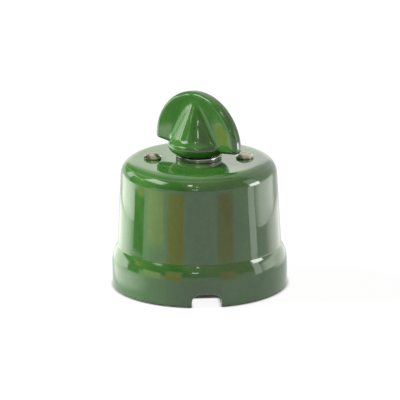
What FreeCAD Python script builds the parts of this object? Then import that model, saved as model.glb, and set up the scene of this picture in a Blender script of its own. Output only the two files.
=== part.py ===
import FreeCAD, Part
import math
import os
import re
import Sketcher
from FreeCAD import Placement, Rotation, Vector

# Surface-mounted porcelain rotary switch: a glazed cover and knob over a porcelain base that
# carries a two-pole contact mechanism with a four-position detent.
# The origin is the middle of the mounting face, +Z runs along the spindle to the knob,
# the cover screws stand on the X axis and the cable enters at -Y. All lengths are in millimetres.

# Driving sizes: alias, number and what it measures
SIZES = (
    # Spindle and clearances
    ("spindle_radius", 3.0, "round part of the spindle"),
    ("square_flat", 6.6, "square part of the spindle, across flats"),
    ("running_gap", 0.05, "radial clearance of a turning fit"),
    ("turn_gap", 0.1, "end play between turning and fixed faces"),
    ("fit_gap", 0.05, "clearance of a fixed fit, on each side"),
    ("tip_gap", 0.5, "room past the end of a screw, pivot or tang"),
    ("pivot_radius", 2.0, "lower pivot of the spindle"),
    ("pivot_length", 4.0, "pivot below the thrust flange"),
    ("thrust_radius", 5.5, "thrust flange of the spindle"),
    ("thrust_thickness", 1.5, "thrust flange of the spindle"),
    ("tang_flat", 4.2, "square tang in the knob, across flats"),
    ("tang_length", 10.0, "square tang above the knob's foot"),
    # Contact carrier
    ("rotor_radius", 8.5, "insulating carrier discs"),
    ("rotor_neck_radius", 6.5, "neck of the lower carrier"),
    ("rotor_rim", 3.0, "height of the lower carrier's rim"),
    ("rotor_cap_height", 4.0, "height of the upper carrier"),
    ("key_flat", 9.0, "square key that drives the contact bar, across flats"),
    # Contacts and terminals
    ("bar_thickness", 1.2, "contact bar"),
    ("bar_width", 5.0, "arms of the contact bar"),
    ("bar_reach", 11.5, "spindle axis to the end of an arm"),
    ("bar_hub_radius", 7.5, "round middle of the contact bar"),
    ("bar_corner", 1.0, "corners at the ends of the arms"),
    ("contact_gap", 0.1, "contact bar to each leaf"),
    ("leaf_thickness", 0.8, "contact leaves"),
    ("leaf_width", 6.0, "contact leaves"),
    ("leaf_flare", 0.6, "lead-in bend at the tip of a leaf"),
    ("leaf_clearance", 0.8, "carrier to the tip of a leaf"),
    ("sweep_gap", 0.4, "swept arm to the joggle of the upper leaf"),
    ("head_margin", 0.5, "room beside a terminal screw's head"),
    ("block_width", 7.5, "terminal block"),
    ("block_height", 9.0, "terminal block"),
    ("block_margin", 1.4, "metal beyond the wire hole"),
    ("block_corner", 1.0, "upright edges of the terminal block"),
    ("small_thread_radius", 1.25, "terminal fixing screws"),
    ("small_head_radius", 2.0, "terminal fixing screws"),
    ("small_head_height", 1.4, "terminal fixing screws"),
    ("clamp_radius", 1.5, "wire clamp screw"),
    ("clamp_proud", 1.0, "wire clamp screw above its block"),
    ("wire_radius", 1.7, "wire hole"),
    ("wire_height", 4.0, "wire hole above the base"),
    # Detent and its frame
    ("cam_flat", 11.0, "square detent cam, across flats"),
    ("cam_height", 6.0, "square detent cam"),
    ("cam_corner", 2.0, "rounded corners of the cam"),
    ("washer_radius", 5.0, "thrust washer"),
    ("washer_thickness", 0.8, "thrust washer"),
    ("bridge_thickness", 2.0, "bearing bridge"),
    ("spring_thickness", 0.6, "detent spring sheet"),
    ("spring_width", 8.0, "arms of the detent spring"),
    ("spring_lift", 0.5, "spring arms above the carrier"),
    ("web_gap", 0.6, "spindle to the hole in the spring"),
    ("clip_radius", 4.8, "retaining clip"),
    ("clip_thickness", 0.8, "retaining clip"),
    ("clip_mouth", 4.0, "open side of the retaining clip"),
    ("clip_play", 0.2, "spring to retaining clip"),
    ("groove_depth", 0.6, "groove for the clip"),
    # Pillars and their screws
    ("screw_offset", 17.0, "spindle axis to the pillars and cover screws"),
    ("pillar_flat", 7.0, "hexagon pillars, across flats"),
    ("pillar_floor", 2.4, "solid metal above a pillar's stud"),
    ("thread_radius", 2.0, "studs, cover screws and pillar screws"),
    ("stud_grip", 4.0, "stud inside the lower pillar"),
    ("screw_grip", 6.0, "screw inside a pillar"),
    ("cover_head_radius", 3.25, "cover screw head"),
    ("cover_head_height", 2.0, "cover screw head"),
    ("cover_head_edge", 0.7, "upright edge of the cover screw head"),
    ("pillar_head_radius", 3.4, "pillar screw head"),
    ("pillar_head_height", 2.2, "pillar screw head"),
    ("slot_width", 0.9, "screwdriver slots"),
    ("slot_depth", 0.8, "screwdriver slots"),
    # Base
    ("base_thickness", 10.0, "porcelain base"),
    ("base_chamfer", 0.6, "lower edge of the base"),
    ("boss_radius", 7.0, "boss under the spindle"),
    ("boss_height", 1.5, "boss under the spindle"),
    ("recess_depth", 4.0, "screw recesses in the underside"),
    ("recess_gap", 0.6, "screw head to its recess"),
    ("cutout_depth", 8.0, "cable cut-out, in from the edge"),
    ("wall_hole_offset", 19.0, "spindle axis to the wall screw holes"),
    ("wall_hole_turn", 45.0, "bearing of the wall screw holes, degrees"),
    ("wall_hole_radius", 2.3, "wall screw holes"),
    ("wall_head_radius", 4.5, "recess for a wall screw's head"),
    ("wall_head_depth", 3.5, "recess for a wall screw's head"),
    # Cover
    ("wall", 4.0, "barrel wall of the cover"),
    ("roof", 4.5, "top of the cover"),
    ("chamber_gap", 3.0, "wiring room round the mechanism"),
    ("ledge", 1.55, "inner ledge that rests on the base"),
    ("base_gap", 0.5, "base to the cover's skirt"),
    ("barrel_taper", 1.75, "loss of radius up the barrel"),
    ("band_step", 2.05, "skirt band beyond the barrel"),
    ("band_height", 9.0, "straight part of the skirt band"),
    ("shoulder_rise", 6.7, "rounded shoulder above the band"),
    ("shoulder_blend", 1.0, "hollow between shoulder and barrel"),
    ("top_round", 5.8, "edge of the top"),
    ("rim_round", 1.0, "lower edge of the skirt"),
    ("ceiling_round", 2.0, "inner corner under the top"),
    ("notch_width", 11.0, "cable notch"),
    ("notch_height", 5.0, "cable notch"),
    ("notch_corner", 3.2, "upper corners of the cable notch"),
    ("notch_turn", 4.5, "cable notch from -Y towards +X, degrees"),
    # Spindle bush and its nut
    ("bush_radius", 6.0, "threaded barrel of the bush"),
    ("bush_tail", 0.5, "bush below its nut"),
    ("bush_gap", 0.2, "bush to the hole in the cover"),
    ("collar_radius", 8.5, "collar under the knob"),
    ("collar_height", 2.0, "collar under the knob"),
    ("collar_round", 0.7, "upper edge of the collar"),
    ("nut_flat", 16.0, "bush nut, across flats"),
    ("nut_thickness", 3.0, "bush nut"),
    # Knob
    ("knob_turn", 138.0, "bearing of the blade at rest, degrees"),
    ("knob_gap", 0.3, "collar to the knob's foot"),
    ("foot_radius", 8.6, "foot of the knob"),
    ("hub_radius", 11.4, "widest part of the hub"),
    ("hub_rise", 3.3, "foot to the widest part of the hub"),
    ("hub_round", 1.8, "rounded shoulder of the hub"),
    ("cone_radius", 10.6, "foot of the hub's cone, inside the shoulder"),
    ("cone_lip", 0.9, "rounding at the foot of the cone"),
    ("nose_radius", 2.2, "top of the hub's cone, inside the blade"),
    ("nose_depth", 2.7, "top of the hub's cone below the blade's top"),
    ("blade_radius", 20.0, "half-disc blade"),
    ("blade_thickness", 5.0, "half-disc blade"),
    ("blade_skirt", 0.8, "upright ends of the blade below its half disc"),
    ("blade_droop", 6.0, "slope of the blade's lower edges, degrees"),
    ("blade_round", 1.9, "edges of the blade"),
    ("wing_tip", 1.6, "outline corners of the blade"),
    ("web_round", 2.5, "hollow between hub and blade"),
    ("insert_radius", 5.0, "brass insert in the knob"),
    ("insert_length", 12.0, "brass insert in the knob"),
    ("overcut", 1.0, "cutting tools past open faces"),
)

# Levels and radii that follow from the driving sizes
DERIVED = (
    ("boss_top", "base_thickness + boss_height"),
    ("thrust_bottom", "boss_top + turn_gap"),
    ("thrust_top", "thrust_bottom + thrust_thickness"),
    ("block_top", "base_thickness + block_height"),
    ("upper_leaf_seat", "block_top + leaf_thickness"),
    ("bar_bottom", "upper_leaf_seat + contact_gap"),
    ("bar_top", "bar_bottom + bar_thickness"),
    ("cap_top", "bar_top + rotor_cap_height"),
    ("cam_top", "cap_top + cam_height"),
    ("washer_top", "cam_top + washer_thickness"),
    ("bridge_bottom", "washer_top + turn_gap"),
    ("bridge_top", "bridge_bottom + bridge_thickness"),
    ("web_top", "bridge_top + spring_thickness"),
    ("clip_bottom", "web_top + clip_play"),
    ("clip_top", "clip_bottom + clip_thickness"),
    ("ceiling", "web_top + pillar_floor + screw_grip + tip_gap"),
    ("cover_top", "ceiling + roof"),
    ("collar_top", "cover_top + collar_height"),
    ("foot_level", "collar_top + knob_gap"),
    ("joggle_rise", "bar_thickness + 2 * contact_gap"),
    ("joggle_start", "sqrt(bar_reach^2 + bar_width^2 / 4) + sweep_gap"),
    ("joggle_end", "joggle_start + joggle_rise"),
    ("leaf_inner", "rotor_radius + leaf_clearance"),
    ("fixing_at", "joggle_end + head_margin + small_head_radius"),
    ("leaf_outer", "fixing_at + small_head_radius"),
    ("clamp_at", "leaf_outer + head_margin + clamp_radius"),
    ("block_end", "clamp_at + max(clamp_radius; wire_radius) + block_margin"),
    ("fixing_grip", "block_height / 2 - tip_gap"),
    ("bridge_half", "cam_flat / 2 - fit_gap"),
    ("spring_inner", "cam_flat / 2 + fit_gap"),
    ("works_radius", "max(sqrt(block_end^2 + block_width^2 / 4); screw_offset + bridge_half)"),
    ("chamber_radius", "works_radius + chamber_gap"),
    ("base_radius", "chamber_radius + ledge"),
    ("socket_radius", "base_radius + base_gap"),
    ("barrel_radius", "chamber_radius + wall"),
    ("rim_radius", "barrel_radius + band_step"),
    ("shoulder_level", "band_height + shoulder_rise"),
    ("shoulder_radius", "(band_step^2 + shoulder_rise^2) / (2 * band_step)"),
    ("bowl_step", "hub_radius - foot_radius"),
    ("bowl_radius", "(bowl_step^2 + hub_rise^2) / (2 * bowl_step)"),
    ("cone_step", "cone_radius - foot_radius"),
    ("cone_bowl", "(cone_step^2 + hub_rise^2) / (2 * cone_step)"),
    ("tip_level", "hub_rise - blade_skirt"),
    ("wing_level", "tip_level - (blade_radius - foot_radius) * tan(blade_droop)"),
    ("blade_rise", "hub_rise + blade_radius"),
    ("nose_rise", "blade_rise - nose_depth"),
    ("dome_rise", "cover_head_height - cover_head_edge"),
    ("dome_radius", "(cover_head_radius^2 + dome_rise^2) / (2 * dome_rise)"),
)

doc = FreeCAD.newDocument("rotary_switch")
sizes = doc.addObject("Spreadsheet::Sheet", "Sizes")
derived = doc.addObject("Spreadsheet::Sheet", "Derived")
SHEET_OF = {alias: "Sizes" for alias, number, meaning in SIZES}
SHEET_OF.update({alias: "Derived" for alias, formula in DERIVED})


def named(formula, inside=""):
    """Write out a formula of plain size names with the sheet that holds each of them."""

    def reference(match):
        word = match.group(0)
        sheet = SHEET_OF.get(word, inside)
        return word if sheet == inside else f"{sheet}.{word}"

    return re.sub(r"[a-z_]+", reference, formula)


for row, (alias, number, meaning) in enumerate(SIZES, start=1):
    sizes.set(f"A{row}", meaning)
    sizes.set(f"B{row}", str(number))
    sizes.setAlias(f"B{row}", alias)
for row, (alias, formula) in enumerate(DERIVED, start=1):
    derived.set(f"B{row}", "=" + named(formula, inside="Derived"))
    derived.setAlias(f"B{row}", alias)
doc.recompute()


def value(formula):
    """The number that a formula of size names gives."""
    return float(sizes.evalExpression(named(formula)))


def bind(thing, path, formula):
    """Tie a property, or a part of one, to a formula of size names."""
    thing.setExpression(path, named(formula))


def place(thing, x="0", y="0", z="0", turn="0"):
    """Put a finished piece in its place, turned about the spindle's direction."""
    if turn != "0":
        thing.Placement = Placement(Vector(), Rotation(Vector(0, 0, 1), value(turn)))
        bind(thing, "Placement.Rotation.Angle", turn)
    for axis, formula in zip("xyz", (x, y, z)):
        if formula != "0":
            bind(thing, f"Placement.Base.{axis}", formula)
    return thing


# Sketches

# How a sketch numbers its own axes, and the points of a line or circle in it
ACROSS, UPWARD = -1, -2
ORIGIN = ACROSS
START, END, CENTRE = range(1, 4)


def new_body(label):
    return doc.addObject("PartDesign::Body", label)


def sketch_on(body, plane, name, level="0", turn="0"):
    """A sketch on one of the body's own origin planes, moved along its normal or turned about Z."""
    sketch = body.newObject("Sketcher::SketchObject", name)
    support = next(feature for feature in body.Origin.OriginFeatures if feature.Role == plane)
    sketch.AttachmentSupport = [(support, "")]
    sketch.MapMode = "FlatFace"
    if turn != "0":
        upright = Vector(0, 0, 1) if plane == "XY_Plane" else Vector(0, 1, 0)
        sketch.AttachmentOffset = Placement(Vector(), Rotation(upright, value(turn)))
        bind(sketch, "AttachmentOffset.Rotation.Angle", turn)
    if level != "0":
        bind(sketch, "AttachmentOffset.Base.z", level)
    return sketch


def constrain(sketch, kind, *geometry, formula):
    """Add a dimension and tie it to a formula."""
    index = sketch.addConstraint(Sketcher.Constraint(kind, *geometry, value(formula)))
    bind(sketch, f"Constraints[{index}]", formula)


def pin(sketch, geometry, point, x, y):
    """Fix one point of a sketch at a place given by two formulas."""
    for kind, axis, formula in (("DistanceX", UPWARD, x), ("DistanceY", ACROSS, y)):
        if formula == "0":
            sketch.addConstraint(Sketcher.Constraint("PointOnObject", geometry, point, axis))
        else:
            constrain(sketch, kind, ORIGIN, START, geometry, point, formula=formula)


def circle(sketch, x, y, radius):
    round_line = Part.Circle(Vector(value(x), value(y), 0), Vector(0, 0, 1), value(radius))
    geometry = sketch.addGeometry(round_line)
    pin(sketch, geometry, CENTRE, x, y)
    constrain(sketch, "Radius", geometry, formula=radius)


def arc_between(first, second, radius):
    """The shorter arc that runs anticlockwise from one point to another."""
    chord = second - first
    middle = (first + second) * 0.5
    reach = math.sqrt(max(radius**2 - (chord.Length / 2) ** 2, 0.0))
    centre = middle + Vector(-chord.y, chord.x, 0).normalize() * reach
    angles = [math.atan2(point.y - centre.y, point.x - centre.x) for point in (first, second)]
    return Part.ArcOfCircle(Part.Circle(centre, Vector(0, 0, 1), radius), *angles)


def outline(sketch, corners):
    """A closed outline, drawn anticlockwise. A corner is (x, y), or (x, y, radius) where an arc
    that bulges outwards runs from it to the next corner."""
    points = [Vector(value(corner[0]), value(corner[1]), 0) for corner in corners]
    lines = []
    for corner, first, second in zip(corners, points, points[1:] + points[:1]):
        if len(corner) == 3:
            line = arc_between(first, second, value(corner[2]))
        else:
            line = Part.LineSegment(first, second)
        lines.append(sketch.addGeometry(line))
    for line, following in zip(lines, lines[1:] + lines[:1]):
        sketch.addConstraint(Sketcher.Constraint("Coincident", line, END, following, START))
    for line, corner in zip(lines, corners):
        pin(sketch, line, START, corner[0], corner[1])
        if len(corner) == 3:
            constrain(sketch, "Radius", line, formula=corner[2])


def rectangle(sketch, left, right, bottom, top):
    outline(sketch, [(left, bottom), (right, bottom), (right, top), (left, top)])


def square(sketch, flat):
    half = f"({flat}) / 2"
    rectangle(sketch, f"-{half}", half, f"-{half}", half)


def hexagon(sketch, flat):
    corner_radius = f"({flat}) / sqrt(3)"
    outline(sketch, [(f"{corner_radius} * cos({angle})", f"{corner_radius} * sin({angle})")
                     for angle in range(30, 390, 60)])


def strip(sketch, offset, half_width):
    """A flat strip with round ends about two points on the X axis."""
    outline(sketch, [
        (f"-{offset}", f"-{half_width}"),
        (offset, f"-{half_width}", half_width),
        (f"{offset} + {half_width}", "0", half_width),
        (offset, half_width),
        (f"-{offset}", half_width, half_width),
        (f"-{offset} - {half_width}", "0", half_width),
    ])


# Features

def revolve(body, sketch, name):
    feature = body.newObject("PartDesign::Revolution", name)
    feature.Profile = sketch
    feature.ReferenceAxis = (sketch, ["V_Axis"])
    feature.Angle = 360
    return feature


def pad(body, sketch, name, length, downward=False, both_ways=False):
    feature = body.newObject("PartDesign::Pad", name)
    feature.Profile = sketch
    feature.SideType = "Symmetric" if both_ways else "One side"
    feature.Reversed = downward
    bind(feature, "Length", length)
    return feature


def pocket(body, sketch, name, depth="", upward=False, both_ways=False):
    """Cut a sketch out of its body, against the sketch's normal unless it says otherwise,
    to a depth or right through."""
    doc.recompute()
    before = body.Shape.Volume
    feature = body.newObject("PartDesign::Pocket", name)
    feature.Profile = sketch
    feature.SideType = "Symmetric" if both_ways else "One side"
    feature.Reversed = upward
    if depth:
        bind(feature, "Length", depth)
    else:
        feature.Type = "ThroughAll"
    doc.recompute()
    if not body.Shape.Volume < before:
        raise RuntimeError(f"{name} of {body.Label} cuts nothing")
    return feature


def dress(body, kind, name, size, wanted):
    """Round or chamfer the edges of a body that a test picks."""
    doc.recompute()
    base = body.Tip
    edges = [f"Edge{number}" for number, edge in enumerate(base.Shape.Edges, start=1)
             if wanted(edge, base.Shape)]
    if not edges:
        raise RuntimeError(f"{name} of {body.Label} finds no edge")
    feature = body.newObject(f"PartDesign::{kind}", name)
    feature.Base = (base, edges)
    bind(feature, "Radius" if kind == "Fillet" else "Size", size)
    return feature


CLOSE_ENOUGH = 1e-4


def near(number, formula):
    """A test that allows for rounding in the shapes."""
    return abs(number - value(formula)) < CLOSE_ENOUGH


def along_spindle(direction):
    return near(abs(direction.z), "1")


def ring_edge(radius, level):
    """A test for the round edge of that radius about the axis, at that level."""

    def wanted(edge, shape):
        return (isinstance(edge.Curve, Part.Circle) and near(edge.Curve.Radius, radius)
                and near(edge.BoundBox.ZMin, level) and near(edge.BoundBox.ZMax, level))

    return wanted


def upright_edge(edge, shape):
    """A test for straight edges along Z."""
    return isinstance(edge.Curve, Part.Line) and along_spindle(edge.Curve.Direction)


def level_pad(label, draw, bottom, height, *, body=None):
    """A plate or post: a sketch drawn by a function, raised from one level by a height."""
    body = body or new_body(label)
    sketch = sketch_on(body, "XY_Plane", f"{label}_plan", bottom)
    draw(sketch)
    pad(body, sketch, f"{label}_pad", height)
    return body


def drill(body, name, holes, level="0", depth="", upward=True):
    """Round holes at (x, y, radius), from a level upwards or downwards."""
    sketch = sketch_on(body, "XY_Plane", f"{body.Name}_{name}", level)
    for x, y, radius in holes:
        circle(sketch, x, y, radius)
    pocket(body, sketch, f"{body.Name}_{name}_cut", depth, upward)


def square_hole(body, flat, turn="0"):
    sketch = sketch_on(body, "XY_Plane", f"{body.Name}_drive", turn=turn)
    square(sketch, f"{flat} + 2 * fit_gap")
    pocket(body, sketch, f"{body.Name}_drive_cut", upward=True)


def group(label, members):
    compound = doc.addObject("Part::Compound", label)
    compound.Links = members
    return compound


def turned(radius, bearing):
    """The x and y formulas of a point at a radius and a bearing."""
    return f"{radius} * cos({bearing})", f"{radius} * sin({bearing})"


BOTH_PILLARS = ("screw_offset", "-screw_offset")
LINE = "knob_turn"
LOAD = "knob_turn + 180"


# Porcelain

def make_cover():
    """Turned shell with a skirt band, a rounded shoulder and a slightly tapered barrel.
    Its inner ledge rests on the base."""
    cover = new_body("cover")
    profile = sketch_on(cover, "XZ_Plane", "cover_profile")
    outline(profile, [
        ("socket_radius", "0"),
        ("rim_radius", "0"),
        ("rim_radius", "band_height", "shoulder_radius"),
        ("barrel_radius", "shoulder_level"),
        ("barrel_radius - barrel_taper", "cover_top"),
        ("bush_radius + bush_gap", "cover_top"),
        ("bush_radius + bush_gap", "ceiling"),
        ("chamber_radius - barrel_taper", "ceiling"),
        ("chamber_radius", "base_thickness"),
        ("socket_radius", "base_thickness"),
    ])
    revolve(cover, profile, "cover_shell")
    dress(cover, "Fillet", "cover_top_edge", "top_round",
          ring_edge("barrel_radius - barrel_taper", "cover_top"))
    dress(cover, "Fillet", "cover_waist", "shoulder_blend", ring_edge("barrel_radius", "shoulder_level"))
    dress(cover, "Fillet", "cover_rim", "rim_round", ring_edge("rim_radius", "0"))
    dress(cover, "Fillet", "cover_ceiling", "ceiling_round",
          ring_edge("chamber_radius - barrel_taper", "ceiling"))
    drill(cover, "screw_holes", [(x, "0", "thread_radius + bush_gap") for x in BOTH_PILLARS], "ceiling")
    notch = sketch_on(cover, "XZ_Plane", "cover_notch", turn="notch_turn")
    outline(notch, [
        ("-notch_width / 2", "-overcut"),
        ("notch_width / 2", "-overcut"),
        ("notch_width / 2", "notch_height - notch_corner", "notch_corner"),
        ("notch_width / 2 - notch_corner", "notch_height"),
        ("notch_corner - notch_width / 2", "notch_height", "notch_corner"),
        ("-notch_width / 2", "notch_height - notch_corner"),
    ])
    pocket(cover, notch, "cover_notch_cut", upward=True)
    return cover


def make_base():
    """Thick disc with a boss and blind bearing for the spindle, recessed screw holes,
    two wall screw holes and a cut-out behind the cable notch."""
    base = new_body("base")
    profile = sketch_on(base, "XZ_Plane", "base_profile")
    bearing_floor = "boss_top + turn_gap - pivot_length - tip_gap"
    outline(profile, [
        ("0", "0"),
        ("base_radius", "0"),
        ("base_radius", "base_thickness"),
        ("boss_radius", "base_thickness"),
        ("boss_radius", "boss_top"),
        ("pivot_radius + running_gap", "boss_top"),
        ("pivot_radius + running_gap", bearing_floor),
        ("0", bearing_floor),
    ])
    revolve(base, profile, "base_disc")
    dress(base, "Chamfer", "base_edge", "base_chamfer", ring_edge("base_radius", "0"))
    fixing_places = [turned("fixing_at", bearing) for bearing in (LINE, LOAD)]
    wall_places = [turned("wall_hole_offset", bearing)
                   for bearing in ("wall_hole_turn", "(wall_hole_turn + 180)")]
    drill(base, "pillar_holes", [(x, "0", "thread_radius + fit_gap") for x in BOTH_PILLARS])
    drill(base, "pillar_recesses", [(x, "0", "pillar_head_radius + recess_gap") for x in BOTH_PILLARS],
          depth="recess_depth")
    drill(base, "fixing_holes", [(x, y, "small_thread_radius + fit_gap") for x, y in fixing_places])
    drill(base, "fixing_recesses", [(x, y, "small_head_radius + recess_gap") for x, y in fixing_places],
          depth="recess_depth")
    drill(base, "wall_holes", [(x, y, "wall_hole_radius") for x, y in wall_places])
    drill(base, "wall_recesses", [(x, y, "wall_head_radius") for x, y in wall_places],
          "base_thickness", "wall_head_depth", upward=False)
    cutout = sketch_on(base, "XY_Plane", "base_cutout", turn="notch_turn")
    rectangle(cutout, "-notch_width / 2", "notch_width / 2",
              "-base_radius - overcut", "cutout_depth - base_radius")
    pocket(base, cutout, "base_cutout_cut", upward=True)
    return base


def make_knob():
    """Half-disc blade through a cone on a bowl-shaped hub with a rounded shoulder. One hollow runs
    round the join of cone and blade, and dies out in the shoulder."""
    knob = new_body("knob")
    blade = sketch_on(knob, "XZ_Plane", "knob_blade")
    outline(blade, [
        ("-foot_radius", "wing_level"),
        ("foot_radius", "wing_level"),
        ("blade_radius", "tip_level"),
        ("blade_radius", "hub_rise", "blade_radius"),
        ("0", "blade_rise", "blade_radius"),
        ("-blade_radius", "hub_rise"),
        ("-blade_radius", "tip_level"),
    ])
    pad(knob, blade, "knob_blade_pad", "blade_thickness", both_ways=True)

    def across_tip(edge, shape):
        middle = edge.CenterOfMass
        return near(abs(middle.x), "blade_radius") and near(middle.y, "0") and near(middle.z, "tip_level")

    def along_face(edge, shape):
        return near(abs(edge.CenterOfMass.y), "blade_thickness / 2")

    dress(knob, "Fillet", "knob_wing_tips", "wing_tip", across_tip)
    dress(knob, "Fillet", "knob_blade_edge", "blade_round", along_face)
    cone = sketch_on(knob, "XZ_Plane", "knob_cone")
    outline(cone, [
        ("0", "0"),
        ("foot_radius", "0", "cone_bowl"),
        ("cone_radius", "hub_rise"),
        ("nose_radius", "nose_rise"),
        ("0", "nose_rise"),
    ])
    revolve(knob, cone, "knob_cone_turned")

    def on_cone(face):
        return face.BoundBox.YLength > value("blade_thickness") + CLOSE_ENOUGH

    def widest(edge, shape):
        faces = shape.ancestorsOfType(edge, Part.Face)
        return all(on_cone(face) for face in faces) and near(edge.CenterOfMass.z, "hub_rise")

    def cone_to_blade(edge, shape):
        sides = [on_cone(face) for face in shape.ancestorsOfType(edge, Part.Face)]
        return any(sides) and not all(sides) and not near(edge.BoundBox.ZMax, "0")

    dress(knob, "Fillet", "knob_cone_lip", "cone_lip", widest)
    dress(knob, "Fillet", "knob_web", "web_round", cone_to_blade)
    hub = sketch_on(knob, "XZ_Plane", "knob_hub")
    outline(hub, [
        ("0", "0"),
        ("foot_radius", "0", "bowl_radius"),
        ("hub_radius", "hub_rise", "hub_round"),
        ("hub_radius - hub_round", "hub_rise + hub_round"),
        ("0", "hub_rise + hub_round"),
    ])
    revolve(knob, hub, "knob_hub_turned")
    drill(knob, "socket", [("0", "0", "insert_radius + fit_gap")], depth="insert_length + tip_gap")
    return place(knob, z="foot_level", turn="knob_turn")


# Spindle and contact carrier

def make_spindle():
    """Turned spindle with a pivot, a thrust flange, a square that drives the carrier and the cam,
    a clip groove and a square tang for the knob."""
    spindle = new_body("spindle")
    profile = sketch_on(spindle, "XZ_Plane", "spindle_profile")
    pivot_end = "thrust_bottom - pivot_length"
    outline(profile, [
        ("0", pivot_end),
        ("pivot_radius", pivot_end),
        ("pivot_radius", "thrust_bottom"),
        ("thrust_radius", "thrust_bottom"),
        ("thrust_radius", "thrust_top"),
        ("spindle_radius", "thrust_top"),
        ("spindle_radius", "clip_bottom"),
        ("spindle_radius - groove_depth", "clip_bottom"),
        ("spindle_radius - groove_depth", "clip_top"),
        ("spindle_radius", "clip_top"),
        ("spindle_radius", "foot_level"),
        ("0", "foot_level"),
    ])
    revolve(spindle, profile, "spindle_turned")
    level_pad("spindle_square", lambda sketch: square(sketch, "square_flat"),
              "thrust_top", "cam_top - thrust_top", body=spindle)
    level_pad("spindle_tang", lambda sketch: square(sketch, "tang_flat"),
              "foot_level", "tang_length", body=spindle)
    return place(spindle, turn="knob_turn")


def make_knob_insert():
    """Brass sleeve in the knob with a square socket for the spindle's tang."""
    insert = level_pad("knob_insert", lambda sketch: circle(sketch, "0", "0", "insert_radius"),
                       "foot_level", "insert_length")
    socket = sketch_on(insert, "XY_Plane", "knob_insert_socket", "foot_level")
    square(socket, "tang_flat + 2 * fit_gap")
    pocket(insert, socket, "knob_insert_socket_cut", "tang_length + tip_gap", upward=True)
    return place(insert, turn="knob_turn")


def make_lower_carrier():
    """Insulating bobbin whose square key drives the contact bar."""
    carrier = new_body("lower_carrier")
    profile = sketch_on(carrier, "XZ_Plane", "lower_carrier_profile")
    outline(profile, [
        ("0", "thrust_top"),
        ("rotor_neck_radius", "thrust_top"),
        ("rotor_neck_radius", "bar_bottom - rotor_rim"),
        ("rotor_radius", "bar_bottom - rotor_rim"),
        ("rotor_radius", "bar_bottom"),
        ("0", "bar_bottom"),
    ])
    revolve(carrier, profile, "lower_carrier_turned")
    level_pad("lower_carrier_key", lambda sketch: square(sketch, "key_flat"),
              "bar_bottom", "bar_thickness", body=carrier)
    square_hole(carrier, "square_flat")
    return place(carrier, turn="knob_turn")


def make_upper_carrier():
    carrier = level_pad("upper_carrier", lambda sketch: circle(sketch, "0", "0", "rotor_radius"),
                        "bar_top", "rotor_cap_height")
    square_hole(carrier, "square_flat")
    return place(carrier, turn="knob_turn")


def make_contact_bar():
    """Flat bar with a round middle and two arms that slide between the leaves."""
    bar = level_pad("contact_bar", lambda sketch: circle(sketch, "0", "0", "bar_hub_radius"),
                    "bar_bottom", "bar_thickness")

    def arms(sketch):
        rectangle(sketch, "-bar_reach", "bar_reach", "-bar_width / 2", "bar_width / 2")

    level_pad("contact_bar_arms", arms, "bar_bottom", "bar_thickness", body=bar)

    def arm_end(edge, shape):
        return upright_edge(edge, shape) and near(abs(edge.CenterOfMass.x), "bar_reach")

    dress(bar, "Fillet", "contact_bar_ends", "bar_corner", arm_end)
    square_hole(bar, "key_flat")
    return place(bar, turn="knob_turn")


# Terminals

def make_terminal_block(label, bearing):
    """Brass block with an upright tapped hole, a wire hole and a clamp screw hole."""

    def plan(sketch):
        rectangle(sketch, "joggle_start", "block_end", "-block_width / 2", "block_width / 2")

    block = level_pad(label, plan, "base_thickness", "block_height")
    dress(block, "Fillet", f"{label}_corners", "block_corner", upright_edge)
    drill(block, "fixing", [("fixing_at", "0", "small_thread_radius + fit_gap")])
    drill(block, "clamp", [("clamp_at", "0", "clamp_radius + fit_gap")], "base_thickness + wire_height")
    wire = sketch_on(block, "XZ_Plane", f"{label}_wire")
    circle(wire, "clamp_at", "base_thickness + wire_height", "wire_radius")
    pocket(block, wire, f"{label}_wire_cut", "block_width + overcut", both_ways=True)
    return place(block, turn=bearing)


def make_leaf(label, bearing, lower_line):
    """Sheet contact leaf: its side view follows a line of points from the tip to the outer end."""
    leaf = new_body(label)
    side = sketch_on(leaf, "XZ_Plane", f"{label}_side")
    upper_line = [(x, f"{z} + leaf_thickness") for x, z in reversed(lower_line)]
    outline(side, lower_line + upper_line)
    pad(leaf, side, f"{label}_sheet", "leaf_width", both_ways=True)
    drill(leaf, "fixing", [("fixing_at", "0", "small_thread_radius + fit_gap")])
    return place(leaf, turn=bearing)


def make_lower_leaf(label, bearing):
    return make_leaf(label, bearing, [
        ("leaf_inner", "block_top - leaf_flare"),
        ("leaf_inner + leaf_flare", "block_top"),
        ("leaf_outer", "block_top"),
    ])


def make_upper_leaf(label, bearing):
    return make_leaf(label, bearing, [
        ("leaf_inner", "upper_leaf_seat + joggle_rise + leaf_flare"),
        ("leaf_inner + leaf_flare", "upper_leaf_seat + joggle_rise"),
        ("joggle_start", "upper_leaf_seat + joggle_rise"),
        ("joggle_end", "upper_leaf_seat"),
        ("leaf_outer", "upper_leaf_seat"),
    ])


# Detent and frame

def make_detent_cam():
    """Square cam whose flats face the spring arms at rest, on the spindle's turned square."""
    cam = level_pad("detent_cam", lambda sketch: square(sketch, "cam_flat"), "cap_top", "cam_height")
    dress(cam, "Fillet", "detent_cam_corners", "cam_corner", upright_edge)
    square_hole(cam, "square_flat", turn="knob_turn")
    return cam


def make_thrust_washer():
    washer = level_pad("thrust_washer", lambda sketch: circle(sketch, "0", "0", "washer_radius"),
                       "cam_top", "washer_thickness")
    drill(washer, "bore", [("0", "0", "spindle_radius + running_gap")])
    return washer


def make_bridge():
    """Strip between the pillars that carries the spindle's upper bearing."""
    bridge = level_pad("bridge", lambda sketch: strip(sketch, "screw_offset", "bridge_half"),
                       "bridge_bottom", "bridge_thickness")
    drill(bridge, "bearing", [("0", "0", "spindle_radius + running_gap")])
    drill(bridge, "stud_holes", [(x, "0", "thread_radius + fit_gap") for x in BOTH_PILLARS])
    return bridge


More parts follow.
